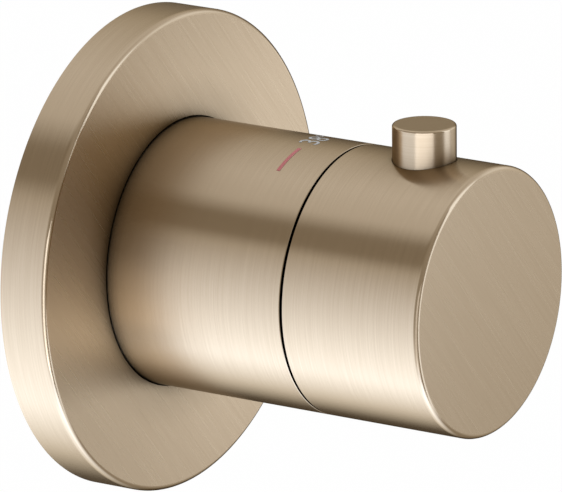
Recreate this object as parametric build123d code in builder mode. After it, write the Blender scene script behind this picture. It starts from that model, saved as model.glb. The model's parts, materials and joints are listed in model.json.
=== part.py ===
# Concealed round thermostatic mixing valve: rosette, sleeve, turning handle and cartridge.
# Millimetres. The wall's finished face is the plane y = 0, the front of the valve faces -Y
# and +Z is up. A depth counts forward from the wall's face, so it is minus y, and what lies
# inside the wall has a depth below 0. Hot water comes in on the -X side, cold on the +X side.

import os

from build123d import *

os.makedirs("parts", exist_ok=True)

# Fits between pieces
running = 0.05
sliding = 0.05
touch = 0.02
clearance = 0.15
loose = 0.3

# Rosette, its collar round the sleeve and its seal on the wall
rosette_r = 45.0
rosette_depth = 9.6
rosette_plate = 2.0
rosette_wall = 4.0
rosette_lip = 2.0
rosette_edge_r = 1.0
wall_seal_t = 3.0
wall_seal_width = 3.4
collar_wall = 3.4
collar_length = 2.1
collar_seal_r = 0.8

# Sleeve and handle
sleeve_r = 25.0
sleeve_wall = 1.8
seam_depth = 47.45
seam_gap = 0.55
handle_wall = 2.4
handle_front = 3.2
total_depth = 76.5
handle_edge_r = 0.95
seam_edge_r = 0.1

# Safety button, latch and button spring
button_r = 5.85
button_offset = 0.3
button_stand = 6.5
button_edge_r = 0.45
button_gap = 0.1
button_flange_r = 7.2
button_flange_t = 1.7
button_stem_r = 2.2
button_stem_length = 10.0
button_travel = 2.5
button_spring_r = 4.4
button_spring_wire = 0.45
button_spring_length = 5.0
button_spring_turns = 4
latch_width = 6.0
latch_t = 1.3
latch_reach = 1.1
latch_lap = 2.1

# Valve block
block_r = 29.0
block_rear = -10.0
block_front = 3.2
neck_gap = 1.0
neck_step = 22.0
neck_tip_r = 19.0
neck_tip = 34.0
fixing_inset = 1.6
fixing_r = 2.25
fixing_count = 4
port_offset = 19.5
port_mouth_r = 6.4
port_mouth_length = 3.4
port_r = 6.0
port_length = 9.8
port_seal_centre_r = 7.7
port_seal_r = 0.8
port_seal_out = 0.3
outlet_r = 6.0
passage_inset = 4.2
passage_r = 2.5
sleeve_seal_r = 1.0
sleeve_seal_depths = (14.5, 19.0)

# Stepped bore for the cartridge, with one ring of water for each inlet
cage_bore_r = 11.5
cage_bore_rear = -6.0
housing_bore_rear = 13.0
housing_bore_r = 14.5
thread_bore_rear = 24.0
thread_bore_r = 17.0
water_ring_r = 14.5
water_ring_width = 3.0
hot_ring_depth = 3.0
cold_ring_depth = 9.5

# Check valve in each inlet
filter_t = 0.4
filter_hole_r = 0.4
filter_pitch = 1.3
filter_rows = 5
valve_wall = 1.2
valve_seat_t = 0.8
valve_seat_r = 3.0
poppet_r = 3.7
poppet_t = 0.8
poppet_stem_r = 0.9
poppet_travel = 1.0
guide_t = 1.2
guide_window_r = 1.2
guide_window_count = 3
valve_spring_r = 2.5
valve_spring_wire = 0.22
valve_spring_turns = 2.5

# Cartridge: ported cage and shuttle
cage_wall = 2.4
cage_floor_t = 1.0
cage_outlet_r = 5.0
cage_flange_t = 1.5
cage_window_width = 6.0
cage_window_count = 6
cage_seal_r = 0.8
cage_seal_depths = (-1.0, 6.25, 12.1)
shuttle_wall = 1.2
shuttle_rear = 3.2
shuttle_front = 9.3
shuttle_web_t = 1.6
shuttle_hub_wall = 1.4
shuttle_hole_r = 1.6
shuttle_hole_count = 4
return_spring_r = 6.0
return_spring_wire = 0.5
return_spring_turns = 5

# Cartridge: wax element, plunger, overload spring and thrust nut
element_r = 3.2
element_rear = -3.5
element_collar_r = 4.8
element_collar_t = 1.0
element_guide_r = 2.4
element_guide_length = 2.7
piston_r = 1.5
plunger_depth = 15.2
plunger_t = 1.2
thrust_r = 7.2
thrust_wall = 1.1
thrust_lip_t = 0.7
thrust_lip_r = 4.9
thrust_hub_rear = 22.4
thrust_front = 26.0
thrust_key_width = 2.0
thrust_key_reach = 1.4
thrust_key_length = 4.5
overload_spring_r = 5.2
overload_spring_wire = 0.55
overload_spring_turns = 4

# Cartridge: bonnet and union nut
bonnet_flange_t = 2.5
bonnet_flange_r = 16.8
bonnet_nose_r = 10.0
bonnet_nose = 40.0
bonnet_wall_rear = 33.6
bonnet_seal_r = 0.9
bonnet_seal_depth = 19.5
union_flats = 30.0
union_hex_t = 3.4
union_edge = 0.5

# Spindle
stud_r = 4.0
stud_rear = 19.5
stud_play = 0.08
thrust_collar_r = 6.6
thrust_collar_t = 2.0
spindle_r = 4.5
spindle_seal_r = 0.75
spindle_seal_depth = 36.8
clip_t = 0.8
clip_r = 6.2
clip_groove_r = 3.9
clip_mouth = 5.0
spline_rear = 44.0
spline_past_screw = 3.8
spline_r = 4.0
spline_tooth = 0.35
spline_tooth_width = 0.6
spline_teeth = 20

# Stop ring
stop_ring_gap = 1.8
stop_ring_wall = 2.0
stop_ring_rear = 38.2
stop_web_t = 2.0
stop_ring_front = 46.8
lug_reach = 2.6
lug_start = 10.0
lug_angle = 15.0
end_stop_reach = 5.2
end_stop_room = 12.0
handle_cold_angle = 150.0
handle_hot_angle = 60.0
top_angle = 90.0

# Handle insert and grub screw
insert_hub_r = 8.0
insert_hub_rear = 50.0
insert_disc_t = 3.0
insert_seat_width = 12.0
insert_foot_width = 9.0
insert_foot_gap = 1.6
grub_r = 2.0
grub_length = 9.0
grub_socket_flats = 2.0
grub_socket_depth = 2.5
grub_hole_r = 2.6

# Rosette holder and its screws
holder_t = 2.0
holder_rim_wall = 2.5
holder_rim_front = 7.3
holder_seal_r = 0.9
holder_seal_depth = 5.4
holder_screw_r = 1.25
holder_screw_length = 8.0
holder_screw_inset = 3.0
holder_screw_head_r = 2.4
holder_screw_count = 3
holder_screw_slot = 0.6


# The plane at a depth, looking out of the wall: its x is X and its y is Z
def face_at(depth):
    return Plane.XZ.offset(depth)


# A ring or disc about the valve's axis, added between two depths
def add_ring(inner_r, outer_r, rear, front):
    with BuildSketch(face_at(rear)) as ring:
        Circle(outer_r)
        if inner_r > 0:
            Circle(inner_r, mode=Mode.SUBTRACT)
    extrude(ring.sketch, amount=front - rear)


# Part of such a ring, whose angles are counted anticlockwise from the top
def add_ring_part(inner_r, outer_r, start, sweep, rear, front):
    with BuildSketch(face_at(rear)) as ring_part:
        with BuildLine():
            outer_arc = CenterArc((0, 0), outer_r, top_angle + start, sweep)
            inner_arc = CenterArc((0, 0), inner_r, top_angle + start, sweep)
            Line(outer_arc @ 0, inner_arc @ 0)
            Line(outer_arc @ 1, inner_arc @ 1)
        make_face()
    extrude(ring_part.sketch, amount=front - rear)


# A round bore along the valve's axis, cut between two depths at a place on the face
def cut_bore(radius, rear, front, place=(0, 0)):
    with BuildSketch(face_at(rear)) as bore:
        with Locations(place):
            Circle(radius)
    extrude(bore.sketch, amount=front - rear, mode=Mode.SUBTRACT)


# A ring-shaped groove, cut between two depths
def cut_groove(inner_r, outer_r, rear, front, place=(0, 0)):
    with BuildSketch(face_at(rear)) as groove:
        with Locations(place):
            Circle(outer_r)
            Circle(inner_r, mode=Mode.SUBTRACT)
    extrude(groove.sketch, amount=front - rear, mode=Mode.SUBTRACT)


# An O-ring round an axis along Y
def add_o_ring(centre_r, section_r, depth, place=(0, 0)):
    with Locations(Plane(origin=(place[0], -depth, place[1]), x_dir=(1, 0, 0), z_dir=(0, -1, 0))):
        Torus(centre_r, section_r)


# A compression spring of round wire that stands on a plane and fills a length
def add_spring(base, mean_r, wire_r, length, turns):
    height = length - 2 * wire_r
    with BuildLine(base.offset(wire_r)) as wire:
        Helix(pitch=height / turns, height=height, radius=mean_r, direction=base.z_dir)
    with BuildSketch(Plane(origin=wire.line @ 0, z_dir=wire.line % 0)) as section:
        Circle(wire_r)
    sweep(section.sketch, path=wire.line, is_frenet=True)


# Writes a finished piece under its own name
def write(piece, name):
    piece.part.label = name
    export_step(piece.part, f"parts/{name}.step")


# Rosette: a turned cover with a collar round the sleeve and a rebate for the wall seal
rosette_inner_r = rosette_r - rosette_wall
rosette_plate_rear = rosette_depth - rosette_plate
collar_rear = rosette_plate_rear - collar_length
collar_bore_r = sleeve_r + clearance
collar_seal_depth = rosette_plate_rear - collar_length / 2
with BuildPart() as rosette:
    add_ring(0, rosette_r, 0, rosette_depth)
    fillet(rosette.edges().group_by(Axis.Y)[0], radius=rosette_edge_r)
    cut_bore(rosette_inner_r, 0, rosette_plate_rear)
    cut_bore(rosette_r - rosette_lip, 0, wall_seal_t)
    add_ring(collar_bore_r, collar_bore_r + collar_wall, collar_rear, rosette_depth - rosette_plate / 2)
    cut_bore(collar_bore_r, 0, rosette_depth)
    cut_groove(
        sleeve_r,
        sleeve_r + 2 * collar_seal_r + touch,
        collar_seal_depth - collar_seal_r,
        collar_seal_depth + collar_seal_r,
    )
write(rosette, "rosette")

with BuildPart() as wall_seal:
    add_ring(rosette_r - rosette_lip - wall_seal_width, rosette_r - rosette_lip, 0, wall_seal_t)
write(wall_seal, "wall_seal")

with BuildPart() as collar_seal:
    add_o_ring(sleeve_r + collar_seal_r + touch / 2, collar_seal_r - touch / 2, collar_seal_depth)
write(collar_seal, "collar_seal")


# Sleeve: a plain tube from just behind the rosette's collar to the seam
sleeve_rear = collar_rear + clearance
sleeve_front = seam_depth - seam_gap / 2
sleeve_bore_r = sleeve_r - sleeve_wall
with BuildPart() as sleeve:
    add_ring(sleeve_bore_r, sleeve_r, sleeve_rear, sleeve_front)
    chamfer(sleeve.edges().group_by(Axis.Y)[0].sort_by(Edge.length)[-1:], length=seam_edge_r)
write(sleeve, "sleeve")

# Valve block: flange on the in-wall side, neck inside the sleeve, stepped bore for the cartridge
neck_r = sleeve_bore_r - neck_gap
fixing_circle_r = (neck_r + block_r) / 2 - fixing_inset
holder_screw_circle_r = neck_r + holder_screw_inset
passage_offset = neck_r - passage_inset
sleeve_seal_centre_r = sleeve_bore_r - sleeve_seal_r
passage_rear = block_rear + port_length
inlets = {"hot": (-1, hot_ring_depth), "cold": (1, cold_ring_depth)}
with BuildPart() as valve_block:
    add_ring(0, block_r, block_rear, block_front)
    add_ring(0, neck_r, block_front, neck_step)
    add_ring(0, neck_tip_r, neck_step, neck_tip)
    cut_bore(outlet_r, block_rear, cage_bore_rear)
    cut_bore(cage_bore_r, cage_bore_rear, housing_bore_rear)
    cut_bore(housing_bore_r, housing_bore_rear, thread_bore_rear)
    cut_bore(thread_bore_r, thread_bore_rear, neck_tip)
    for seal_depth in sleeve_seal_depths:
        cut_groove(
            sleeve_seal_centre_r - sleeve_seal_r,
            neck_r,
            seal_depth - sleeve_seal_r,
            seal_depth + sleeve_seal_r,
        )
    for side, ring_depth in inlets.values():
        ring_rear = ring_depth - water_ring_width / 2
        ring_front = ring_depth + water_ring_width / 2
        port_place = (side * port_offset, 0)
        cut_bore(water_ring_r, ring_rear, ring_front)
        cut_bore(port_mouth_r, block_rear, block_rear + port_mouth_length, port_place)
        cut_bore(port_r, block_rear, passage_rear, port_place)
        cut_bore(passage_r, passage_rear, ring_front, (side * passage_offset, 0))
        with BuildSketch(face_at(ring_rear)):
            with Locations((side * (water_ring_r + passage_offset) / 2, 0)):
                Rectangle(passage_offset - water_ring_r + passage_r, 2 * passage_r)
        extrude(amount=water_ring_width, mode=Mode.SUBTRACT)
    for port_x in (-port_offset, 0, port_offset):
        cut_groove(
            port_seal_centre_r - port_seal_r,
            port_seal_centre_r + port_seal_r,
            block_rear,
            block_rear + 2 * port_seal_r - port_seal_out,
            (port_x, 0),
        )
    with BuildSketch(face_at(block_rear)):
        with PolarLocations(fixing_circle_r, fixing_count, start_angle=180 / fixing_count):
            Circle(fixing_r)
    extrude(amount=block_front - block_rear, mode=Mode.SUBTRACT)
    with BuildSketch(face_at(block_front)):
        with PolarLocations(holder_screw_circle_r, holder_screw_count, start_angle=top_angle):
            Circle(holder_screw_r)
    extrude(amount=-(holder_screw_length - holder_t + loose), mode=Mode.SUBTRACT)
write(valve_block, "valve_block")

for index, seal_depth in enumerate(sleeve_seal_depths, start=1):
    with BuildPart() as sleeve_seal:
        add_o_ring(sleeve_seal_centre_r, sleeve_seal_r - touch / 2, seal_depth)
    write(sleeve_seal, f"sleeve_seal_{index}")

for port_name, port_x in {"hot": -port_offset, "cold": port_offset, "mixed": 0}.items():
    with BuildPart() as port_seal:
        add_o_ring(
            port_seal_centre_r,
            port_seal_r - touch / 2,
            block_rear + port_seal_r - port_seal_out,
            (port_x, 0),
        )
    write(port_seal, f"{port_name}_port_seal")

# Check valve in each inlet: filter, guided poppet and its spring in a housing
valve_rear = block_rear + port_mouth_length + filter_t
valve_front = passage_rear - clearance
valve_r = port_r - clearance
poppet_rear = valve_rear + valve_seat_t + running
poppet_front = poppet_rear + poppet_t
guide_rear = valve_front - guide_t
guide_window_circle_r = (poppet_stem_r + valve_r - valve_wall) / 2
for inlet_name, (side, ring_depth) in inlets.items():
    port_place = (side * port_offset, 0)
    with BuildPart() as inlet_filter:
        with BuildSketch(face_at(valve_rear - filter_t)):
            with Locations(port_place):
                Circle(valve_r)
                with HexLocations(filter_pitch / 2, filter_rows, filter_rows):
                    Circle(filter_hole_r, mode=Mode.SUBTRACT)
        extrude(amount=filter_t)
    write(inlet_filter, f"{inlet_name}_filter")

    with BuildPart() as check_housing:
        with BuildSketch(face_at(valve_rear)):
            with Locations(port_place):
                Circle(valve_r)
        extrude(amount=valve_front - valve_rear)
        cut_bore(valve_seat_r, valve_rear, valve_rear + valve_seat_t, port_place)
        cut_bore(valve_r - valve_wall, valve_rear + valve_seat_t, guide_rear, port_place)
        cut_bore(poppet_stem_r + running, guide_rear, valve_front, port_place)
        with BuildSketch(face_at(guide_rear)):
            with Locations(port_place):
                with PolarLocations(
                    guide_window_circle_r, guide_window_count, start_angle=top_angle
                ):
                    Circle(guide_window_r)
        extrude(amount=guide_t, mode=Mode.SUBTRACT)
    write(check_housing, f"{inlet_name}_check_housing")

    with BuildPart() as poppet:
        with BuildSketch(face_at(poppet_rear)):
            with Locations(port_place):
                Circle(poppet_r)
        extrude(amount=poppet_t)
        with BuildSketch(face_at(poppet_front)):
            with Locations(port_place):
                Circle(poppet_stem_r)
        extrude(amount=guide_rear + guide_t / 2 - poppet_front)
    write(poppet, f"{inlet_name}_check_poppet")

    with BuildPart() as check_spring:
        spring_base = Plane(
            origin=(port_place[0], -poppet_front - touch, 0), x_dir=(1, 0, 0), z_dir=(0, -1, 0)
        )
        add_spring(
            spring_base,
            valve_spring_r,
            valve_spring_wire,
            guide_rear - poppet_front - 2 * touch,
            valve_spring_turns,
        )
    write(check_spring, f"{inlet_name}_check_spring")

# Cartridge cage: a ported plastic tube with a floor, a front flange and three O-rings
cage_r = cage_bore_r - running
cage_inner_r = cage_bore_r - cage_wall
cage_rear = cage_bore_rear + running
cage_flange_rear = housing_bore_rear + touch
cage_front = cage_flange_rear + cage_flange_t
cage_seal_centre_r = cage_bore_r - cage_seal_r
with BuildPart() as cartridge_cage:
    add_ring(0, cage_r, cage_rear, cage_front)
    add_ring(0, housing_bore_r - clearance, cage_flange_rear, cage_front)
    cut_bore(cage_inner_r, cage_rear + cage_floor_t, cage_front)
    cut_bore(cage_outlet_r, cage_rear, cage_rear + cage_floor_t)
    for seal_depth in cage_seal_depths:
        cut_groove(
            cage_seal_centre_r - cage_seal_r,
            cage_r,
            seal_depth - cage_seal_r,
            seal_depth + cage_seal_r,
        )
    for side, ring_depth in inlets.values():
        with BuildSketch(face_at(ring_depth - water_ring_width / 2)):
            with PolarLocations(cage_bore_r - cage_wall / 2, cage_window_count):
                Rectangle(2 * cage_wall, cage_window_width)
        extrude(amount=water_ring_width, mode=Mode.SUBTRACT)
write(cartridge_cage, "cartridge_cage")

for index, seal_depth in enumerate(cage_seal_depths, start=1):
    with BuildPart() as cage_seal:
        add_o_ring(cage_seal_centre_r, cage_seal_r - touch / 2, seal_depth)
    write(cage_seal, f"cage_seal_{index}")

# Shuttle: the sliding tube that covers part of the hot and part of the cold windows
shuttle_r = cage_inner_r - sliding
shuttle_bore_r = shuttle_r - shuttle_wall
shuttle_hub_r = element_r + shuttle_hub_wall
web_rear = (shuttle_rear + shuttle_front - shuttle_web_t) / 2
web_front = web_rear + shuttle_web_t
with BuildPart() as shuttle:
    add_ring(shuttle_bore_r, shuttle_r, shuttle_rear, shuttle_front)
    add_ring(element_r, shuttle_bore_r, web_rear, web_front)
    with BuildSketch(face_at(web_rear)):
        with PolarLocations((shuttle_hub_r + shuttle_bore_r) / 2, shuttle_hole_count):
            Circle(shuttle_hole_r)
    extrude(amount=shuttle_web_t, mode=Mode.SUBTRACT)
write(shuttle, "shuttle")

# Wax element: bulb through the shuttle's web, collar on it, guide and piston in front
element_front = web_front + element_collar_t
with BuildPart() as wax_element:
    add_ring(0, element_r - touch, element_rear, web_front + element_collar_t / 2)
    add_ring(0, element_collar_r, web_front + touch, element_front)
    add_ring(0, element_guide_r, element_front, element_front + element_guide_length)
    add_ring(0, piston_r, element_front + element_guide_length, plunger_depth)
write(wax_element, "wax_element")

with BuildPart() as plunger:
    add_ring(0, thrust_r - thrust_wall - clearance, plunger_depth, plunger_depth + plunger_t)
write(plunger, "plunger")

with BuildPart() as return_spring:
    add_spring(
        face_at(cage_rear + cage_floor_t + touch),
        return_spring_r,
        return_spring_wire,
        web_rear - cage_rear - cage_floor_t - 2 * touch,
        return_spring_turns,
    )
write(return_spring, "return_spring")

with BuildPart() as overload_spring:
    add_spring(
        face_at(plunger_depth + plunger_t + touch),
        overload_spring_r,
        overload_spring_wire,
        thrust_hub_rear - plunger_depth - plunger_t - 2 * touch,
        overload_spring_turns,
    )
write(overload_spring, "overload_spring")

# Thrust nut: a keyed cup that the spindle's thread moves along the axis
with BuildPart() as thrust_nut:
    add_ring(0, thrust_r, plunger_depth - thrust_lip_t - touch, thrust_front)
    cut_bore(thrust_lip_r, plunger_depth - thrust_lip_t - touch, plunger_depth)
    cut_bore(thrust_r - thrust_wall, plunger_depth - touch, thrust_hub_rear)
    cut_bore(stud_r + stud_play, thrust_hub_rear, thrust_front)
    with BuildSketch(face_at(thrust_front - thrust_key_length)):
        for key_side in (-1, 1):
            with Locations((key_side * (thrust_r + thrust_key_reach / 2 - thrust_wall / 2), 0)):
                Rectangle(thrust_key_reach + thrust_wall, thrust_key_width)
    extrude(amount=thrust_key_length)
write(thrust_nut, "thrust_nut")

# Bonnet: guides the thrust nut, carries the spindle and is held by the union nut
bonnet_bore_r = thrust_r + loose
bonnet_rear = cage_front + touch
bonnet_seal_centre_r = housing_bore_r - bonnet_seal_r
bonnet_flange_rear = thread_bore_rear + touch
bonnet_flange_front = bonnet_flange_rear + bonnet_flange_t
spindle_bore_r = spindle_r + running
spindle_seal_centre_r = spindle_bore_r + spindle_seal_r
with BuildPart() as bonnet:
    add_ring(0, housing_bore_r - running, bonnet_rear, bonnet_flange_rear)
    add_ring(0, bonnet_flange_r, bonnet_flange_rear, bonnet_flange_front)
    add_ring(0, bonnet_nose_r, bonnet_flange_front, bonnet_nose)
    cut_bore(bonnet_bore_r, bonnet_rear, bonnet_wall_rear)
    cut_bore(spindle_bore_r, bonnet_wall_rear, bonnet_nose)
    with BuildSketch(face_at(bonnet_rear)):
        Rectangle(2 * (thrust_r + thrust_key_reach + loose), thrust_key_width + 2 * loose)
    extrude(amount=bonnet_wall_rear - bonnet_rear, mode=Mode.SUBTRACT)
    cut_groove(
        bonnet_seal_centre_r - bonnet_seal_r,
        housing_bore_r,
        bonnet_seal_depth - bonnet_seal_r,
        bonnet_seal_depth + bonnet_seal_r,
    )
    cut_bore(
        spindle_seal_centre_r + spindle_seal_r,
        spindle_seal_depth - spindle_seal_r,
        spindle_seal_depth + spindle_seal_r,
    )
write(bonnet, "bonnet")

with BuildPart() as bonnet_seal:
    add_o_ring(bonnet_seal_centre_r, bonnet_seal_r - touch / 2, bonnet_seal_depth)
write(bonnet_seal, "bonnet_seal")

# Union nut: threaded ring with a hexagon in front of the block's neck
union_r = thread_bore_r - running
union_rear = bonnet_flange_front + touch
with BuildPart() as union_nut:
    add_ring(0, union_r, union_rear, neck_tip + clearance)
    with BuildSketch(face_at(neck_tip + clearance)):
        RegularPolygon(union_flats / 2, 6, major_radius=False)
    extrude(amount=union_hex_t)
    chamfer(union_nut.edges().group_by(Axis.Y)[0], length=union_edge)
    cut_bore(bonnet_nose_r + loose, union_rear, neck_tip + clearance + union_hex_t)
write(union_nut, "union_nut")

# Spindle: stud with the thread, thrust collar, round shaft, clip groove and splined end. The
# button and the grub screw stand in the middle of the handle, over the splined end.
handle_rear = seam_depth + seam_gap / 2
button_depth = (handle_rear + total_depth) / 2 + button_offset
spline_front = button_depth + spline_past_screw
thrust_collar_front = bonnet_wall_rear - running
clip_rear = bonnet_nose + running
with BuildPart() as spindle:
    add_ring(0, stud_r, stud_rear, thrust_collar_front - thrust_collar_t)
    add_ring(0, thrust_collar_r, thrust_collar_front - thrust_collar_t, thrust_collar_front)
    add_ring(0, spindle_r, thrust_collar_front, spline_rear)
    add_ring(0, spline_r, spline_rear, spline_front)
    cut_groove(clip_groove_r, spindle_r, clip_rear, clip_rear + clip_t + touch)
    with BuildSketch(face_at(spline_rear)):
        with PolarLocations(spline_r, spline_teeth):
            Rectangle(2 * spline_tooth, spline_tooth_width)
    extrude(amount=spline_front - spline_rear)
write(spindle, "spindle")

with BuildPart() as spindle_seal:
    add_o_ring(spindle_seal_centre_r, spindle_seal_r - touch / 2, spindle_seal_depth)
write(spindle_seal, "spindle_seal")

# Spindle clip: an open spring ring in the spindle's groove, in front of the bonnet
with BuildPart() as spindle_clip:
    add_ring(clip_groove_r, clip_r, clip_rear + touch / 2, clip_rear + clip_t)
    with BuildSketch(face_at(clip_rear)):
        with Locations((0, -clip_r)):
            Rectangle(clip_mouth, 2 * clip_r)
    extrude(amount=clip_t + touch, mode=Mode.SUBTRACT)
write(spindle_clip, "spindle_clip")

# Stop ring: pressed on the bonnet's nose, with the 38 degree lug and the end stop in front
stop_ring_r = sleeve_bore_r - stop_ring_gap
end_stop_r = stop_ring_r - end_stop_reach
end_stop_start = handle_hot_angle + end_stop_room
end_stop_sweep = 360 - handle_cold_angle - end_stop_room - end_stop_start
latch_rear = button_depth - button_flange_r - latch_reach
lug_front = latch_rear - loose
end_stop_front = latch_rear + latch_reach - clearance
with BuildPart() as stop_ring:
    stop_web_front = stop_ring_rear + stop_web_t
    add_ring(bonnet_nose_r + touch, stop_ring_r, stop_ring_rear, stop_web_front)
    add_ring(stop_ring_r - stop_ring_wall, stop_ring_r, stop_web_front, stop_ring_front)
    add_ring_part(
        stop_ring_r - lug_reach, stop_ring_r, lug_start, lug_angle, stop_ring_front, lug_front
    )
    add_ring_part(
        end_stop_r, stop_ring_r, end_stop_start, end_stop_sweep, stop_web_front, end_stop_front
    )
write(stop_ring, "stop_ring")

# Handle: a cup with a round hole on top for the button and one below for the grub screw
handle_bore_r = sleeve_r - handle_wall
handle_plate_rear = total_depth - handle_front
button_hole_r = button_r + button_gap
button_axis = Plane(origin=(0, -button_depth, 0), x_dir=(1, 0, 0), z_dir=(0, 0, 1))
with BuildPart() as handle:
    add_ring(0, sleeve_r, handle_rear, total_depth)
    fillet(handle.edges().group_by(Axis.Y)[0], radius=handle_edge_r)
    chamfer(handle.edges().group_by(Axis.Y)[-1], length=seam_edge_r)
    cut_bore(handle_bore_r, handle_rear, handle_plate_rear)
    with BuildSketch(button_axis):
        Circle(button_hole_r)
    extrude(amount=sleeve_r + clearance, mode=Mode.SUBTRACT)
    with BuildSketch(button_axis):
        Circle(grub_hole_r)
    extrude(amount=-sleeve_r - clearance, mode=Mode.SUBTRACT)
write(handle, "handle")

# Button: a round cap with a flange under the handle's wall and a guide stem
flange_chord = (handle_bore_r**2 - button_flange_r**2) ** 0.5
button_flange_top = flange_chord - loose
button_flange_bottom = button_flange_top - button_flange_t
stem_bottom = button_flange_bottom - button_stem_length
button_top = sleeve_r + button_stand
with BuildPart() as button:
    with BuildSketch(button_axis.offset(button_flange_bottom)):
        Circle(button_r)
    extrude(amount=button_top - button_flange_bottom)
    fillet(button.edges().group_by(Axis.Z)[-1], radius=button_edge_r)
    with BuildSketch(button_axis.offset(button_flange_bottom)):
        Circle(button_flange_r)
    extrude(amount=button_flange_t)
    with BuildSketch(button_axis.offset(stem_bottom)):
        Circle(button_stem_r)
    extrude(amount=button_stem_length)
write(button, "button")

# Latch: a steel tongue under the button's flange that meets the lug at 38 degrees
latch_length = latch_reach + latch_lap
with BuildPart() as button_latch:
    with BuildSketch(button_axis.offset(button_flange_bottom)):
        with Locations((0, button_flange_r + latch_reach - latch_length / 2)):
            Rectangle(latch_width, latch_length)
    extrude(amount=-latch_t)
    with BuildSketch(button_axis.offset(button_flange_bottom)):
        with Locations((0, button_flange_r + (latch_reach + clearance) / 2)):
            Rectangle(latch_width, latch_reach - clearance)
    extrude(amount=button_flange_t)
write(button_latch, "button_latch")

# Handle insert: splined hub with a disc behind the handle's front, a seat for the button's
# spring above and a foot for the grub screw below
seat_top = button_flange_bottom - button_spring_length
insert_foot_reach = handle_bore_r - insert_foot_gap
insert_disc_rear = handle_plate_rear - insert_disc_t
with BuildPart() as handle_insert:
    add_ring(0, insert_hub_r, insert_hub_rear, insert_disc_rear)
    add_ring(0, handle_bore_r - clearance, insert_disc_rear, handle_plate_rear)
    with BuildSketch(button_axis):
        Rectangle(insert_seat_width, insert_seat_width)
    extrude(amount=seat_top)
    with BuildSketch(button_axis):
        Rectangle(insert_foot_width, insert_foot_width)
    extrude(amount=-insert_foot_reach)
    cut_bore(spline_r + clearance, insert_hub_rear, spline_front + clearance)
    with BuildSketch(face_at(insert_hub_rear)):
        with PolarLocations(spline_r, spline_teeth):
            Rectangle(2 * (spline_tooth + clearance), spline_tooth_width + clearance)
    extrude(amount=spline_front + clearance - insert_hub_rear, mode=Mode.SUBTRACT)
    with BuildSketch(button_axis.offset(stem_bottom - button_travel - loose)):
        Circle(button_stem_r + clearance)
    extrude(amount=seat_top, mode=Mode.SUBTRACT)
    with BuildSketch(button_axis.offset(seat_top)):
        Circle(button_flange_r + clearance)
    extrude(amount=sleeve_r - seat_top, mode=Mode.SUBTRACT)
    with BuildSketch(button_axis):
        Circle(grub_r)
    extrude(amount=-insert_foot_reach, mode=Mode.SUBTRACT)
write(handle_insert, "handle_insert")

# Grub screw: bears on the spindle's spline from below, with a hexagon socket
grub_tip = spline_r + spline_tooth + touch
with BuildPart() as grub_screw:
    with BuildSketch(button_axis.offset(-grub_tip)):
        Circle(grub_r - touch)
    extrude(amount=-grub_length)
    with BuildSketch(button_axis.offset(-grub_tip - grub_length)):
        RegularPolygon(grub_socket_flats / 2, 6, major_radius=False)
    extrude(amount=grub_socket_depth, mode=Mode.SUBTRACT)
write(grub_screw, "grub_screw")

with BuildPart() as button_spring:
    add_spring(
        button_axis.offset(seat_top + touch),
        button_spring_r,
        button_spring_wire,
        button_spring_length - 2 * touch,
        button_spring_turns,
    )
write(button_spring, "button_spring")

# Rosette holder: a ring screwed on the block's front, with an O-ring that grips the rosette
holder_rim_r = rosette_inner_r - loose
holder_seal_centre_r = rosette_inner_r - holder_seal_r
with BuildPart() as rosette_holder:
    add_ring(neck_r + clearance, holder_rim_r, block_front, block_front + holder_t)
    add_ring(holder_rim_r - holder_rim_wall, holder_rim_r, block_front + holder_t, holder_rim_front)
    cut_groove(
        holder_seal_centre_r - holder_seal_r,
        holder_rim_r,
        holder_seal_depth - holder_seal_r,
        holder_seal_depth + holder_seal_r,
    )
    with Locations(face_at(block_front + holder_t)):
        with PolarLocations(holder_screw_circle_r, holder_screw_count, start_angle=top_angle):
            CounterSinkHole(
                radius=holder_screw_r + clearance,
                counter_sink_radius=holder_screw_head_r + clearance,
                depth=holder_t,
            )
write(rosette_holder, "rosette_holder")

with BuildPart() as holder_seal:
    add_o_ring(holder_seal_centre_r, holder_seal_r - touch / 2, holder_seal_depth)
write(holder_seal, "holder_seal")

for index in range(holder_screw_count):
    turn = top_angle + index * 360 / holder_screw_count
    with BuildPart() as holder_screw:
        with Locations(face_at(block_front + holder_t)):
            with PolarLocations(holder_screw_circle_r, 1, start_angle=turn):
                Cylinder(
                    holder_screw_r - touch,
                    holder_screw_length,
                    align=(Align.CENTER, Align.CENTER, Align.MAX),
                )
                Cone(
                    holder_screw_r - touch,
                    holder_screw_head_r,
                    holder_screw_head_r - holder_screw_r,
                    align=(Align.CENTER, Align.CENTER, Align.MAX),
                )
                Box(
                    2 * holder_screw_head_r,
                    holder_screw_slot,
                    2 * holder_screw_slot,
                    mode=Mode.SUBTRACT,
                )
    write(holder_screw, f"holder_screw_{index + 1}")
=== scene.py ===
import json
import math

import bmesh
import bpy
from mathutils import Matrix, Vector


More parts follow.
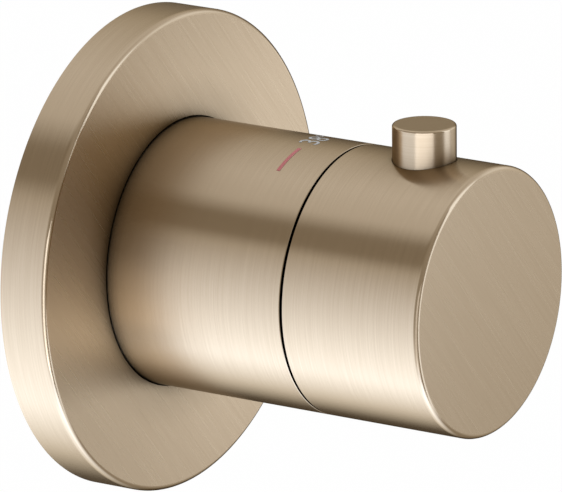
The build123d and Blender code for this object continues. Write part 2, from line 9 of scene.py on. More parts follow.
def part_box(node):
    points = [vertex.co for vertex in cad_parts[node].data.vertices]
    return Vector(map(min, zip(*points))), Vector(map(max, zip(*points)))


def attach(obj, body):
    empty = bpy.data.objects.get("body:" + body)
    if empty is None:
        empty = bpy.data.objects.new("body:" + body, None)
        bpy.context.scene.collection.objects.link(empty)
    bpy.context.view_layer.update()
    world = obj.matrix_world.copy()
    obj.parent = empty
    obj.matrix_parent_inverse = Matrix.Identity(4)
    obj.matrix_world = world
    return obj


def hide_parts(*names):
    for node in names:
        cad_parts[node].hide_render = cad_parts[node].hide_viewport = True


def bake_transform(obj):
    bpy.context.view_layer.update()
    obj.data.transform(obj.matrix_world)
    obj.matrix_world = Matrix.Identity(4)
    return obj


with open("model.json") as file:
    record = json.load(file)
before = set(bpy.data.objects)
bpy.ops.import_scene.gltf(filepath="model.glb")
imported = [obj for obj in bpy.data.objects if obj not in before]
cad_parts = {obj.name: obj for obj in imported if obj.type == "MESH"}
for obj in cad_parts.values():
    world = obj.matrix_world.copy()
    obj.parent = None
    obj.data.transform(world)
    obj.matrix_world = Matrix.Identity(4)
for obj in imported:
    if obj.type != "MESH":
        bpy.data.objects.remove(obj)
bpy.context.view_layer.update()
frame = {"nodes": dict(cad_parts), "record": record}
mm = 0.001

# Camera: it stands to the left of the valve and a little above it, far away behind a long lens,
# so the rosette and the handle keep nearly their true sizes against each other. The picture's
# frame is cut a little off the lens's middle.
view_turn = math.radians(-56.4159)
view_rise = math.radians(15.6358)
view_roll = math.radians(-0.5635)
view_distance = 1577.77 * mm
frame_px = 562
px_per_mm = 5.4024
frame_middle_px = (281.0, 246.0)
wall_middle_px = (140.7375, 243.2067)
shift_right = (wall_middle_px[0] - frame_middle_px[0]) / px_per_mm * mm
shift_up = (frame_middle_px[1] - wall_middle_px[1]) / px_per_mm * mm
sensor_mm = 36.0
nearest_seen = 0.05
furthest_seen = 20

back = Vector(
    (
        math.sin(view_turn) * math.cos(view_rise),
        -math.cos(view_turn) * math.cos(view_rise),
        math.sin(view_rise),
    )
)
level_right = Vector((math.cos(view_turn), math.sin(view_turn), 0))
level_up = back.cross(level_right)
right = level_right * math.cos(view_roll) + level_up * math.sin(view_roll)
up = level_up * math.cos(view_roll) - level_right * math.sin(view_roll)
lens = bpy.data.cameras.new("studio_camera")
lens.sensor_width = sensor_mm
lens.lens = px_per_mm * view_distance / mm / frame_px * sensor_mm
lens.clip_start = nearest_seen
lens.clip_end = furthest_seen
camera = bpy.data.objects.new("studio_camera", lens)
bpy.context.collection.objects.link(camera)
camera.rotation_mode = "QUATERNION"
camera.rotation_quaternion = Matrix((right, up, back)).transposed().to_quaternion()
camera.location = back * view_distance - right * shift_right - up * shift_up
bpy.context.scene.camera = camera


# Rosette: a turned brass cover, 90 mm wide, with a small round on its front edge and a collar
# behind the plate that the sleeve passes through. Its rim and edge are brushed round, its
# face is brushed straight across at a slant, and all of it is plated in bronze and lacquered.
rosette_low, rosette_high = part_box("rosette")
rosette_r = rosette_high.x
rosette_front = -rosette_low.y
rosette_edge_r = 1.0 * mm
rosette_plate = 2.0 * mm
rosette_wall = 4.0 * mm
rosette_lip = 2.0 * mm
rosette_rebate = 3.0 * mm
collar_gap = 0.15 * mm
collar_wall = 3.4 * mm
collar_length = 2.1 * mm
collar_groove_depth = 1.62 * mm
collar_groove_inset = 0.25 * mm
collar_groove_width = 1.6 * mm
sharp_edge = 0.1 * mm
rosette_cavity_r = rosette_r - rosette_wall
rosette_rebate_r = rosette_r - rosette_lip
rosette_plate_rear = rosette_front - rosette_plate
sleeve_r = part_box("sleeve")[1].x
collar_bore_r = sleeve_r + collar_gap
collar_r = collar_bore_r + collar_wall
collar_rear = rosette_plate_rear - collar_length
collar_groove_r = sleeve_r + collar_groove_depth
collar_groove_front = rosette_plate_rear - collar_groove_inset
collar_groove_rear = collar_groove_front - collar_groove_width
bronze_light = (0.515, 0.41, 0.29, 1)
bronze_deep = (0.475, 0.372, 0.258, 1)
bronze_grazing = (0.55, 0.50, 0.42, 1)
brush_stretch = 0.97
dull_scratch = 1.08
bright_scratch = 0.92
brush_depth = 0.02 * mm
brush_strength = 0.035
scratch_detail = 3.0
scratch_roughness = 0.5
streak_start = 0.3
streak_end = 0.7
# Painted shade in the bronze's colour near other pieces: its reach, its rays and its darkening by
# openness.
painted_shade_reach = 9 * mm
painted_shade_rays = 12
painted_corner_shades = ((0.42, 0.04), (0.50, 0.26), (0.56, 0.58), (0.66, 0.82))
slant = math.radians(42)
crease = math.radians(35)
turn_steps = 288
brushing_scale = 10
on_axis = 1e-7
flat_lean = 0.999


def rounded(points, corner, radius, start, end, steps=8):
    """Adds the points of a quarter round about a corner's centre, with a line on each side of it."""
    for step in range(steps + 1):
        angle = start + (end - start) * step / steps
        points.append((corner[0] + radius * math.cos(angle), corner[1] + radius * math.sin(angle)))


def turned(name, profile, place, steps=turn_steps):
    """A solid turned from a closed profile of (radius, height), set up along place's Z."""
    mesh = bmesh.new()
    rings = []
    for radius, height in profile:
        if radius < on_axis:
            rings.append([mesh.verts.new((0, 0, height))])
        else:
            angles = [2 * math.pi * step / steps for step in range(steps)]
            rings.append(
                [mesh.verts.new((radius * math.cos(a), radius * math.sin(a), height)) for a in angles]
            )
    for inner, outer in zip(rings, rings[1:] + rings[:1]):
        if len(inner) == 1 and len(outer) == 1:
            continue
        for step in range(steps):
            after = (step + 1) % steps
            corners = [
                inner[step % len(inner)],
                outer[step % len(outer)],
                outer[after % len(outer)],
                inner[after % len(inner)],
            ]
            mesh.faces.new(list(dict.fromkeys(corners)))
    bmesh.ops.recalc_face_normals(mesh, faces=mesh.faces)
    brushing = mesh.loops.layers.uv.new("brushing")
    for face in mesh.faces:
        flat = abs(face.normal.z) > flat_lean
        middle = face.calc_center_median()
        for corner in face.loops:
            x, y, z = corner.vert.co
            if flat:
                along = x * math.cos(slant) - y * math.sin(slant)
                across = x * math.sin(slant) + y * math.cos(slant)
            else:
                turn = math.atan2(y * middle.x - x * middle.y, x * middle.x + y * middle.y)
                along = (turn + math.atan2(middle.y, middle.x)) * sleeve_r
                across = z
            corner[brushing].uv = (across * brushing_scale, along * brushing_scale)
    mesh.transform(place)
    data = bpy.data.meshes.new(name)
    mesh.to_mesh(data)
    mesh.free()
    data.shade_smooth()
    data.set_sharp_from_angle(angle=crease)
    piece = bpy.data.objects.new(name, data)
    bpy.context.collection.objects.link(piece)
    return piece


def brushed_bronze(name, stretch, brush_turn, roughness):
    """Plated and brushed bronze: fine scratches in the colour, the gloss and the surface itself.

    The colour is painted darker in the corners between two pieces: painted shade where little light
    gets in.
    """
    material = bpy.data.materials.new(name)
    material.use_nodes = True
    nodes = material.node_tree.nodes
    links = material.node_tree.links
    shader = nodes["Principled BSDF"]
    shader.inputs["Metallic"].default_value = 1.0
    shader.inputs["Anisotropic"].default_value = brush_stretch
    shader.inputs["Specular Tint"].default_value = bronze_grazing
    tangent = nodes.new("ShaderNodeTangent")
    tangent.direction_type = "UV_MAP"
    tangent.uv_map = "brushing"
    links.new(tangent.outputs[0], shader.inputs["Tangent"])
    place = nodes.new("ShaderNodeTexCoord")
    turn = nodes.new("ShaderNodeMapping")
    turn.inputs["Rotation"].default_value = brush_turn
    squeeze = nodes.new("ShaderNodeMapping")
    squeeze.inputs["Scale"].default_value = stretch
    links.new(place.outputs["Object"], turn.inputs[0])
    links.new(turn.outputs[0], squeeze.inputs[0])
    scratches = nodes.new("ShaderNodeTexNoise")
    scratches.inputs["Scale"].default_value = 1.0
    scratches.inputs["Detail"].default_value = scratch_detail
    scratches.inputs["Roughness"].default_value = scratch_roughness
    links.new(squeeze.outputs[0], scratches.inputs["Vector"])
    tint = nodes.new("ShaderNodeValToRGB")
    tint.color_ramp.elements[0].position = streak_start
    tint.color_ramp.elements[0].color = bronze_deep
    tint.color_ramp.elements[1].position = streak_end
    tint.color_ramp.elements[1].color = bronze_light
    links.new(scratches.outputs[0], tint.inputs[0])
    # Painted shade: ambient occlusion darkens the base colour in corners and gaps between pieces.
    corner = nodes.new("ShaderNodeAmbientOcclusion")
    corner.samples = painted_shade_rays
    corner.inputs["Distance"].default_value = painted_shade_reach
    painted_shade_ramp = nodes.new("ShaderNodeValToRGB")
    closed, closed_shade = painted_corner_shades[0]
    painted_shade_ramp.color_ramp.elements[0].position = closed
    painted_shade_ramp.color_ramp.elements[0].color = (closed_shade, closed_shade, closed_shade, 1)
    for openness, kept in painted_corner_shades[1:]:
        painted_shade_ramp.color_ramp.elements.new(openness).color = (kept, kept, kept, 1)
    links.new(corner.outputs["AO"], painted_shade_ramp.inputs[0])
    shade = nodes.new("ShaderNodeMix")
    shade.data_type = "RGBA"
    shade.blend_type = "MULTIPLY"
    shade.inputs[0].default_value = 1.0
    links.new(tint.outputs[0], shade.inputs[6])
    links.new(painted_shade_ramp.outputs[0], shade.inputs[7])
    links.new(shade.outputs[2], shader.inputs["Base Color"])
    gloss = nodes.new("ShaderNodeMapRange")
    gloss.inputs["To Min"].default_value = roughness * dull_scratch
    gloss.inputs["To Max"].default_value = roughness * bright_scratch
    links.new(scratches.outputs[0], gloss.inputs[0])
    links.new(gloss.outputs[0], shader.inputs["Roughness"])
    bump = nodes.new("ShaderNodeBump")
    bump.inputs["Strength"].default_value = brush_strength
    bump.inputs["Distance"].default_value = brush_depth
    links.new(scratches.outputs[0], bump.inputs["Height"])
    links.new(bump.outputs[0], shader.inputs["Normal"])
    return material


scratch_across = 6000
scratch_along = 60
bronze_round = brushed_bronze(
    "bronze_brushed_round", (scratch_along, scratch_across, scratch_along), (0, 0, 0), 0.21
)
bronze_slant = brushed_bronze(
    "bronze_brushed_slant", (scratch_across, scratch_along, scratch_along), (0, slant, 0), 0.28
)
bronze_edge = brushed_bronze(
    "bronze_edge", (scratch_along, scratch_across, scratch_along), (0, 0, 0), 0.14
)

out_of_wall = Matrix.Rotation(math.radians(90), 4, "X")
rosette_profile = [
    (rosette_r, 0),
    (rosette_r, rosette_front - rosette_edge_r - sharp_edge),
]
rounded(
    rosette_profile,
    (rosette_r - rosette_edge_r, rosette_front - rosette_edge_r),
    rosette_edge_r,
    0,
    math.pi / 2,
)
rosette_profile += [
    (rosette_r - rosette_edge_r - sharp_edge, rosette_front),
    (collar_bore_r + sharp_edge, rosette_front),
    (collar_bore_r, rosette_front - sharp_edge),
    (collar_bore_r, collar_groove_front),
    (collar_groove_r, collar_groove_front),
    (collar_groove_r, collar_groove_rear),
    (collar_bore_r, collar_groove_rear),
    (collar_bore_r, collar_rear),
    (collar_r, collar_rear),
    (collar_r, rosette_plate_rear),
    (rosette_cavity_r, rosette_plate_rear),
    (rosette_cavity_r, rosette_rebate),
    (rosette_rebate_r, rosette_rebate),
    (rosette_rebate_r, 0),
]
rosette = turned("rosette_cover", rosette_profile, out_of_wall)


round_lean = 0.02


def brush_faces(piece, round_material, face_material, axis=1):
    """Flat faces take the straight brushing, round ones the turned one, edge rounds the smooth one."""
    piece.data.materials.clear()
    for material in (round_material, face_material, bronze_edge):
        piece.data.materials.append(material)
    for face in piece.data.polygons:
        lean = abs(face.normal[axis])
        if lean > flat_lean:
            face.material_index = 1
        elif lean > round_lean:
            face.material_index = 2
        else:
            face.material_index = 0


brush_faces(rosette, bronze_round, bronze_slant)
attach(rosette, "valve")
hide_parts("rosette")


# Sleeve: a plain drawn brass tube between the rosette and the seam, brushed round and plated.
# It is pushed over two O-rings on the valve block's neck and doesn't turn.
sleeve_low, sleeve_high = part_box("sleeve")
sleeve_rear = -sleeve_high.y
sleeve_front = -sleeve_low.y
sleeve_wall = 1.8 * mm
sleeve_bore_r = sleeve_r - sleeve_wall
sleeve = turned(
    "sleeve_tube",
    [
        (sleeve_r, sleeve_rear),
        (sleeve_r, sleeve_front - sharp_edge),
        (sleeve_r - sharp_edge, sleeve_front),
        (sleeve_bore_r, sleeve_front),
        (sleeve_bore_r, sleeve_rear),
    ],
    out_of_wall,
)
brush_faces(sleeve, bronze_round, bronze_slant)
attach(sleeve, "valve")
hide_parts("sleeve")


# Handle: a deep cup turned from brass and brushed like the rosette, with a hole on top for the
# safety button and a small one below for the grub screw. A thin lip behind its rear edge runs
# inside the sleeve, so no light shows through the seam.
handle_low, handle_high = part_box("handle")
handle_rear = -handle_high.y
handle_front = -handle_low.y
handle_r = handle_high.x
handle_edge_r = 0.95 * mm
handle_wall = 2.4 * mm
handle_plate = 3.2 * mm
handle_bore_r = handle_r - handle_wall
handle_plate_rear = handle_front - handle_plate
button_low, button_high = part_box("button")
button_y = (button_low.y + button_high.y) / 2
button_r = 5.85 * mm
button_gap = 0.1 * mm
screw_hole_r = 2.6 * mm
lip_gap = 0.2 * mm
lip_length = 1.8 * mm
lip_r = sleeve_bore_r - lip_gap
lip_rear = handle_rear - lip_length
drill_start = 10 * mm
drill_overrun = 2 * mm
drill_steps = 96
handle_profile = [
    (0, handle_plate_rear),
    (handle_bore_r, handle_plate_rear),
    (handle_bore_r, lip_rear),
    (lip_r, lip_rear),
    (lip_r, handle_rear),
    (handle_r - sharp_edge, handle_rear),
    (handle_r, handle_rear + sharp_edge),
    (handle_r, handle_front - handle_edge_r - sharp_edge),
]
rounded(
    handle_profile,
    (handle_r - handle_edge_r, handle_front - handle_edge_r),
    handle_edge_r,
    0,
    math.pi / 2,
)
handle_profile += [(handle_r - handle_edge_r - sharp_edge, handle_front), (0, handle_front)]
handle = turned("handle_cup", handle_profile, out_of_wall)


def drill(piece, radius, low, high, y):
    """Cuts an upright round hole through a piece between two heights."""
    cutter = turned(
        "drill",
        [(0, low), (radius, low), (radius, high), (0, high)],
        Matrix.Translation((0, y, 0)),
        drill_steps,
    )
    cut = piece.modifiers.new("hole", "BOOLEAN")
    cut.operation = "DIFFERENCE"
    cut.solver = "EXACT"
    cut.object = cutter
    bpy.context.view_layer.update()
    graph = bpy.context.evaluated_depsgraph_get()
    holed = bpy.data.meshes.new_from_object(piece.evaluated_get(graph))
    piece.modifiers.clear()
    piece.data = holed
    bpy.data.objects.remove(cutter)
    holed.set_sharp_from_angle(angle=crease)


drill(handle, button_r + button_gap, drill_start, handle_r + drill_overrun, button_y)
drill(handle, screw_hole_r, -handle_r - drill_overrun, -drill_start, button_y)
brush_faces(handle, bronze_round, bronze_slant)
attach(handle, "handle")
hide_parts("handle")


# Safety button: a small round cap that stands out of the handle's top, with a flange that keeps
# it in the hole and a stem that guides it. Its side is brushed round its own axis.
button_top = button_high.z
button_foot = button_low.z
button_flange_r = button_high.x
button_stem_length = 10 * mm
button_flange_t = 1.7 * mm
button_flange_low = button_foot + button_stem_length
button_flange_high = button_flange_low + button_flange_t
button_stem_r = 2.2 * mm
button_edge_r = 0.45 * mm
button_sharp_edge = 0.05 * mm
button_steps = 144
button_brush_stretch = 0.7
button_profile = [
    (0, button_foot),
    (button_stem_r, button_foot),
    (button_stem_r, button_flange_low),
    (button_flange_r, button_flange_low),
    (button_flange_r, button_flange_high),
    (button_r, button_flange_high),
    (button_r, button_top - button_edge_r - button_sharp_edge),
]
rounded(
    button_profile,
    (button_r - button_edge_r, button_top - button_edge_r),
    button_edge_r,
    0,
    math.pi / 2,
)
button_profile += [(button_r - button_edge_r - button_sharp_edge, button_top), (0, button_top)]
button = turned(
    "button_cap", button_profile, Matrix.Translation((0, button_y, 0)), button_steps
)
bronze_button = brushed_bronze(
    "bronze_brushed_button", (scratch_along, scratch_along, scratch_across), (0, 0, 0), 0.3
)
bronze_cap = brushed_bronze(
    "bronze_brushed_cap", (scratch_along, scratch_across, scratch_along), (0, 0, slant), 0.18
)
button_shader = bronze_button.node_tree.nodes["Principled BSDF"]
button_shader.inputs["Anisotropic"].default_value = button_brush_stretch
brush_faces(button, bronze_button, bronze_cap, axis=2)
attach(button, "button")
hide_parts("button")


# Print on the sleeve: the figure for 38 degrees in pale grey, beside the button at rest, and a
# red bar round the sleeve on the hot side of it. Both are pad printed, a thin skin of ink.
ink_lift = 0.03 * mm
figure_middle = 1.5 * mm
figure_base = -40.4 * mm
figure_height = 4.0 * mm
figure_share = 0.70
ink_roughness = 0.45
ink_grain = 4000
ink_thin = 0.9


def ink(name, colour):
    """Pad printing ink, a little thinner and darker in spots."""
    material = bpy.data.materials.new(name)
    material.use_nodes = True
    nodes = material.node_tree.nodes
    links = material.node_tree.links
    shader = nodes["Principled BSDF"]
    shader.inputs["Roughness"].default_value = ink_roughness
    place = nodes.new("ShaderNodeTexCoord")
    grain = nodes.new("ShaderNodeTexNoise")
    grain.inputs["Scale"].default_value = ink_grain
    links.new(place.outputs["Object"], grain.inputs["Vector"])
    tint = nodes.new("ShaderNodeValToRGB")
    tint.color_ramp.elements[0].color = [channel * ink_thin for channel in colour] + [1]
    tint.color_ramp.elements[1].color = list(colour) + [1]
    links.new(grain.outputs[0], tint.inputs[0])
    links.new(tint.outputs[0], shader.inputs["Base Color"])
    return material


def wrap_on_sleeve(mesh):
    """Bends a flat mesh, x round the sleeve and y towards the wall, onto the sleeve's top."""
    for vertex in mesh.vertices:
        turn = vertex.co.x / sleeve_r
        radius = sleeve_r + ink_lift + vertex.co.z
        vertex.co = (radius * math.sin(turn), vertex.co.y, radius * math.cos(turn))


writing = bpy.data.curves.new("figure_38", "FONT")
writing.body = "38°"
writing.size = figure_height / figure_share
writing.resolution_u = 6
writing.align_x = "CENTER"
writing_object = bpy.data.objects.new("figure_38", writing)
bpy.context.collection.objects.link(writing_object)
bpy.context.view_layer.update()
figure_mesh = bpy.data.meshes.new_from_object(
    writing_object.evaluated_get(bpy.context.evaluated_depsgraph_get())
)
bpy.data.objects.remove(writing_object)
figure_mesh.transform(Matrix.Translation((figure_middle, figure_base, 0)))
wrap_on_sleeve(figure_mesh)
figure = bpy.data.objects.new("print_38", figure_mesh)
bpy.context.collection.objects.link(figure)
figure_mesh.materials.clear()
figure_mesh.materials.append(ink("ink_grey", (0.56, 0.58, 0.60)))
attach(figure, "valve")

bar_middle = -38.5 * mm
bar_width = 0.75 * mm
bar_start = math.radians(-10.4)
bar_end = math.radians(-28.1)
bar_steps = 24
bar_mesh = bpy.data.meshes.new("print_hot_bar")
bar_points = []
for step in range(bar_steps + 1):
    turn = bar_start + (bar_end - bar_start) * step / bar_steps
    for edge in (-0.5, 0.5):
        bar_points.append((turn * sleeve_r, bar_middle + edge * bar_width, 0))
bar_faces = [(2 * k, 2 * k + 1, 2 * k + 3, 2 * k + 2) for k in range(bar_steps)]
bar_mesh.from_pydata(bar_points, [], bar_faces)
wrap_on_sleeve(bar_mesh)
bar = bpy.data.objects.new("print_hot_bar", bar_mesh)
bpy.context.collection.objects.link(bar)
bar_mesh.materials.append(ink("ink_red", (0.62, 0.17, 0.18)))
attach(bar, "valve")


# Working parts behind the covers: they keep their own shape, in machined brass, moulded plastic,
# black rubber and bright steel, each with the finish that its making leaves.
grain_detail = 3.0
grain_strength = 0.3
gloss_spread = 0.15


def plain_finish(name, metallic, roughness, dark, light, grain_scale, bump_height):
    """A finish with an even grain in its colour, gloss and surface."""
    material = bpy.data.materials.new(name)
    material.use_nodes = True
    nodes = material.node_tree.nodes
    links = material.node_tree.links
    shader = nodes["Principled BSDF"]
    shader.inputs["Metallic"].default_value = metallic
    place = nodes.new("ShaderNodeTexCoord")
    grain = nodes.new("ShaderNodeTexNoise")
    grain.inputs["Scale"].default_value = grain_scale
    grain.inputs["Detail"].default_value = grain_detail
    links.new(place.outputs["Object"], grain.inputs["Vector"])
    tint = nodes.new("ShaderNodeValToRGB")
    tint.color_ramp.elements[0].position = streak_start
    tint.color_ramp.elements[0].color = dark
    tint.color_ramp.elements[1].position = streak_end
    tint.color_ramp.elements[1].color = light
    links.new(grain.outputs[0], tint.inputs[0])
    links.new(tint.outputs[0], shader.inputs["Base Color"])
    gloss = nodes.new("ShaderNodeMapRange")
    gloss.inputs["To Min"].default_value = roughness * (1 - gloss_spread)
    gloss.inputs["To Max"].default_value = roughness * (1 + gloss_spread)
    links.new(grain.outputs[0], gloss.inputs[0])
    links.new(gloss.outputs[0], shader.inputs["Roughness"])
    bump = nodes.new("ShaderNodeBump")
    bump.inputs["Strength"].default_value = grain_strength
    bump.inputs["Distance"].default_value = bump_height
    links.new(grain.outputs[0], bump.inputs["Height"])
    links.new(bump.outputs[0], shader.inputs["Normal"])
    return material


inner_finish = {
    "raw_brass": plain_finish(
        "brass_machined", 1.0, 0.32, (0.66, 0.47, 0.20, 1), (0.74, 0.55, 0.26, 1), 900, 0.01 * mm
    ),
    "black_rubber": plain_finish(
        "rubber_black", 0.0, 0.55, (0.012, 0.012, 0.012, 1), (0.02, 0.02, 0.02, 1), 2500, 0.01 * mm
    ),
    "black_plastic": plain_finish(
        "plastic_black", 0.0, 0.42, (0.016, 0.016, 0.017, 1), (0.024, 0.024, 0.025, 1), 3000, 0.01 * mm
    ),
    "white_plastic": plain_finish(
        "plastic_white", 0.0, 0.40, (0.70, 0.70, 0.67, 1), (0.78, 0.78, 0.75, 1), 3000, 0.01 * mm
    ),
    "stainless_steel": plain_finish(
        "steel_bright", 1.0, 0.28, (0.52, 0.52, 0.51, 1), (0.62, 0.62, 0.61, 1), 1500, 0.005 * mm
    ),
}
covered = {"rosette", "sleeve", "handle", "button"}
slot_of = {part["node"]: part["material_slot"] for part in frame["record"]["subparts"]}
for node_name, node_object in frame["nodes"].items():
    if node_name in covered:
        continue
    node_object.data.materials.clear()
    node_object.data.materials.append(inner_finish[slot_of[node_name]])
    node_object.data.shade_smooth()
    node_object.data.set_sharp_from_angle(angle=crease)


# Springs: the safety button's, the thermostat's return spring and one in each check
# valve, coiled from bright steel wire. Each is a copy of its node's coils, set in place on its own.
def working_spring(node_name):
    """A copy of the node's own coils, set in place, with the node itself hidden."""
    coils = bpy.data.objects.new(node_name + "_coils", frame["nodes"][node_name].data.copy())
    bpy.context.collection.objects.link(coils)
    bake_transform(coils)
    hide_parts(node_name)


working_spring("button_spring")
working_spring("return_spring")
working_spring("hot_check_spring")
working_spring("cold_check_spring")


# Floor and backdrop: a pale matt floor far below the valve, and plain white all round. Seen
# straight on, mirrored or through something, the floor is nearly as white as the backdrop, and
# it keeps a little of the shadow.
floor_drop = 1.6
floor_size = 40.0
floor_paint = (0.9, 0.9, 0.9, 1)
floor_roughness = 0.9
floor_glow_share = 0.96
floor_mesh = bpy.data.meshes.new("floor")
half = floor_size / 2
floor_corners = [(-half, -half, 0), (half, -half, 0), (half, half, 0), (-half, half, 0)]
floor_mesh.from_pydata(floor_corners, [], [(0, 1, 2, 3)])
floor = bpy.data.objects.new("floor", floor_mesh)
floor.location = (0, 0, -floor_drop)
bpy.context.collection.objects.link(floor)
floor_material = bpy.data.materials.new("floor_white")
floor_material.use_nodes = True
floor_nodes = floor_material.node_tree.nodes
floor_links = floor_material.node_tree.links
floor_shader = floor_nodes["Principled BSDF"]
floor_shader.inputs["Base Color"].default_value = floor_paint
floor_shader.inputs["Roughness"].default_value = floor_roughness
floor_glow = floor_nodes.new("ShaderNodeEmission")
floor_mix = floor_nodes.new("ShaderNodeMixShader")
floor_path = floor_nodes.new("ShaderNodeLightPath")
floor_seen = floor_nodes.new("ShaderNodeMath")
floor_seen.operation = "MAXIMUM"
floor_links.new(floor_path.outputs["Is Camera Ray"], floor_seen.inputs[0])
floor_links.new(floor_path.outputs["Is Glossy Ray"], floor_seen.inputs[1])
floor_through = floor_nodes.new("ShaderNodeMath")
floor_through.operation = "MAXIMUM"
floor_links.new(floor_seen.outputs[0], floor_through.inputs[0])
floor_links.new(floor_path.outputs["Is Transmission Ray"], floor_through.inputs[1])
floor_share = floor_nodes.new("ShaderNodeMath")
floor_share.operation = "MULTIPLY"
floor_share.inputs[1].default_value = floor_glow_share
floor_links.new(floor_through.outputs[0], floor_share.inputs[0])
floor_links.new(floor_share.outputs[0], floor_mix.inputs[0])
floor_links.new(floor_shader.outputs[0], floor_mix.inputs[1])
floor_links.new(floor_glow.outputs[0], floor_mix.inputs[2])
floor_links.new(floor_mix.outputs[0], floor_nodes["Material Output"].inputs[0])
floor_mesh.materials.append(floor_material)

world = bpy.data.worlds.new("studio_white")
world.use_nodes = True
world.node_tree.nodes["Background"].inputs[0].default_value = (1, 1, 1, 1)
world.node_tree.nodes["Background"].inputs[1].default_value = 1.0
bpy.context.scene.world = world


# Light tent: a ball of lit cloth round the valve, which the metal mirrors and the camera looks
# through. The cloth is brighter and dimmer in bands round the valve's axis, and its front end
# is dim with one bright strip across.
tent_r = 0.4
tent_middle = (0, -40 * mm, 0)
tent_mesh = bpy.data.meshes.new("light_tent")
tent_build = bmesh.new()
bmesh.ops.create_uvsphere(tent_build, u_segments=96, v_segments=48, radius=tent_r)
tent_build.to_mesh(tent_mesh)
tent_build.free()
tent = bpy.data.objects.new("light_tent", tent_mesh)
tent.location = tent_middle
bpy.context.collection.objects.link(tent)
tent.visible_camera = False
tent_material = bpy.data.materials.new("tent_cloth")
tent_material.use_nodes = True
tent_nodes = tent_material.node_tree.nodes
tent_links = tent_material.node_tree.links
tent_nodes.remove(tent_nodes["Principled BSDF"])
tent_place = tent_nodes.new("ShaderNodeTexCoord")
tent_axes = tent_nodes.new("ShaderNodeSeparateXYZ")
tent_links.new(tent_place.outputs["Object"], tent_axes.inputs[0])
tent_left = tent_nodes.new("ShaderNodeMath")
tent_left.operation = "MULTIPLY"
tent_left.inputs[1].default_value = -1
tent_links.new(tent_axes.outputs["X"], tent_left.inputs[0])
tent_angle = tent_nodes.new("ShaderNodeMath")
tent_angle.operation = "ARCTAN2"
tent_links.new(tent_axes.outputs["Z"], tent_angle.inputs[0])
tent_links.new(tent_left.outputs[0], tent_angle.inputs[1])
tent_share = tent_nodes.new("ShaderNodeMapRange")
tent_share.inputs["From Min"].default_value = -math.pi
tent_share.inputs["From Max"].default_value = math.pi
tent_links.new(tent_angle.outputs[0], tent_share.inputs[0])


even_level = 0.93
red_with_level = -0.12
blue_with_level = 0.19


def cloth_colour(level):
    """Dim cloth is a little warm and bright cloth a little cool."""
    step = level / even_level
    return (level * step**red_with_level, level, level * step**blue_with_level)


def lit_round(glow):
    """The cloth's colour by the angle from the left round over the top, out of (degrees, level)."""
    node = tent_nodes.new("ShaderNodeValToRGB")
    ramp = node.color_ramp
    ramp.interpolation = "LINEAR"
    while len(ramp.elements) > 1:
        ramp.elements.remove(ramp.elements[0])
    for index, (degrees, level) in enumerate(glow):
        share = (degrees + 180) / 360
        stop = ramp.elements[0] if index == 0 else ramp.elements.new(share)
        stop.position = share
        stop.color = [channel / brightest for channel in cloth_colour(level)] + [1]
    tent_links.new(tent_share.outputs[0], node.inputs[0])
    return node.outputs[0]


# The back cloth's bands, as the angle and the level where each one starts or ends: dark on the
# right, brightest low down, fading up the left to a dim gap, and an even top.
brightest = 4.0
back_glow = [
    (-180, 0.03),
    (-126, 0.10),
    (-100, 1.45),
    (-66, 2.6),
    (-50, 2.3),
    (30, 0.70),
    (39, 0.33),
    (54, 0.31),
    (68, 0.84),
    (95, 0.95),
    (142, 0.80),
    (172, 0.27),
    (180, 0.03),
]
# The front cloth's bands: brightest low down, dim on the left and low on the right, and bright
# again on the right.
front_glow = [
    (-180, 1.02),
    (-160, 1.0),
    (-134, 0.40),
    (-120, 0.45),
    (-85, 2.55),
    (-69, 3.1),
    (-38, 1.05),
    (-14, 0.54),
    (6, 0.42),
    (54, 0.41),
    (80, 0.65),
    (135, 0.88),
    (160, 1.4),
    (180, 1.02),
]


def fade(start, end):
    """Goes smoothly from 0 to 1 as the place on the cloth goes from start to end along Y."""
    node = tent_nodes.new("ShaderNodeMapRange")
    node.interpolation_type = "SMOOTHSTEP"
    node.inputs["From Min"].default_value = start * tent_r
    node.inputs["From Max"].default_value = end * tent_r
    tent_links.new(tent_axes.outputs["Y"], node.inputs[0])
    return node.outputs[0]


def blend_cloth(share, first, second):
    """Goes from the first cloth to the second as the share goes from 0 to 1."""
    node = tent_nodes.new("ShaderNodeMix")
    node.data_type = "RGBA"
    tent_links.new(share, node.inputs[0])
    for socket, value in ((node.inputs[6], first), (node.inputs[7], second)):
        if isinstance(value, tuple):
            socket.default_value = value
        else:
            tent_links.new(value, socket)
    return node.outputs[2]


front_glow_level = 0.42
strip_glow_level = 1.9
front_colour = tuple(channel / brightest for channel in cloth_colour(front_glow_level)) + (1,)
strip_colour = tuple(channel / brightest for channel in cloth_colour(strip_glow_level)) + (1,)
strip_turn = math.radians(60)
strip_dim_edge = 0.26
strip_bright_edge = 0.20
back_ends = 0.10
front_begins = -0.30
front_ends = -0.62
end_begins = -0.80
strip_way = Vector((math.sin(strip_turn), math.cos(strip_turn), 0))
strip_across = tent_nodes.new("ShaderNodeVectorMath")
strip_across.operation = "DOT_PRODUCT"
strip_across.inputs[1].default_value = strip_way / tent_r
tent_links.new(tent_place.outputs["Object"], strip_across.inputs[0])
strip_off = tent_nodes.new("ShaderNodeMath")
strip_off.operation = "ABSOLUTE"
tent_links.new(strip_across.outputs["Value"], strip_off.inputs[0])
strip_share = tent_nodes.new("ShaderNodeMapRange")
strip_share.interpolation_type = "SMOOTHSTEP"
strip_share.inputs["From Min"].default_value = strip_dim_edge
strip_share.inputs["From Max"].default_value = strip_bright_edge
tent_links.new(strip_off.outputs[0], strip_share.inputs[0])
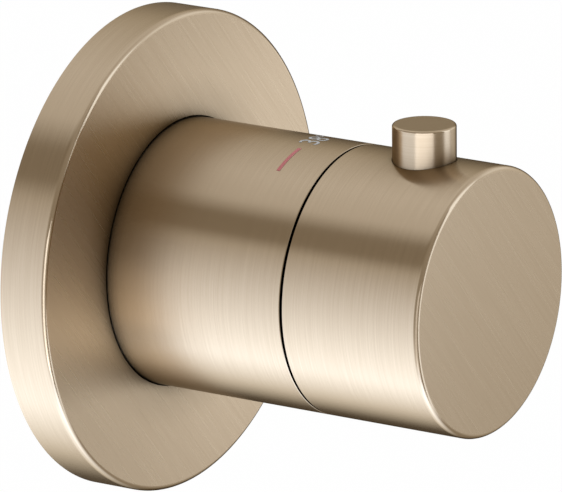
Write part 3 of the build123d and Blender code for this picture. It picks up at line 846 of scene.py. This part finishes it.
front_cloth = blend_cloth(strip_share.outputs[0], front_colour, strip_colour)
around = blend_cloth(fade(back_ends, front_begins), lit_round(back_glow), lit_round(front_glow))
cloth = blend_cloth(fade(front_ends, end_begins), around, front_cloth)
tent_light = tent_nodes.new("ShaderNodeEmission")
tent_light.inputs["Strength"].default_value = brightest
tent_links.new(cloth, tent_light.inputs["Color"])
tent_links.new(tent_light.outputs[0], tent_nodes["Material Output"].inputs[0])
tent_mesh.materials.append(tent_material)


# Light cards: small lit cards of cool white near the valve. Each stands for the part of the
# tent that one face mirrors, so it lights that piece only.
card_colour = (0.80, 0.87, 1.0)


def light_card(name, piece, place, aim, width, height, level):
    """A lit card at a place, turned to its aim, with the level that its piece mirrors."""
    card = bpy.data.lights.new(name, "AREA")
    card.shape = "RECTANGLE"
    card.size = width
    card.size_y = height
    card.color = card_colour
    card.energy = level / card_colour[1] * math.pi * width * height
    stand = bpy.data.objects.new(name, card)
    stand.location = place
    stand.rotation_mode = "QUATERNION"
    stand.rotation_quaternion = (Vector(aim) - Vector(place)).to_track_quat("-Z", "Y")
    stand.visible_camera = False
    lit = bpy.data.collections.new(name + "_lights")
    lit.objects.link(piece)
    stand.light_linking.receiver_collection = lit
    bpy.context.collection.objects.link(stand)


light_card(
    "button_card",
    button,
    place=(-0.0805, -0.1143, 0.001),
    aim=(0.0, -0.062, 0.028),
    width=0.12,
    height=0.14,
    level=1.75,
)
light_card(
    "edge_card",
    handle,
    place=(-0.17, -0.33, -0.08),
    aim=(-0.025, -0.0755, 0.0),
    width=0.18,
    height=0.3,
    level=0.7,
)
light_card(
    "rosette_card",
    rosette,
    place=(0.121, -0.064, -0.034),
    aim=(0.041, -0.0096, -0.007),
    width=0.056,
    height=0.1,
    level=0.6,
)
light_card(
    "rim_card",
    rosette,
    place=(-0.19, -0.26, -0.08),
    aim=(-0.045, -0.009, 0.0),
    width=0.18,
    height=0.3,
    level=1.9,
)

bpy.context.scene.view_settings.view_transform = "Standard"
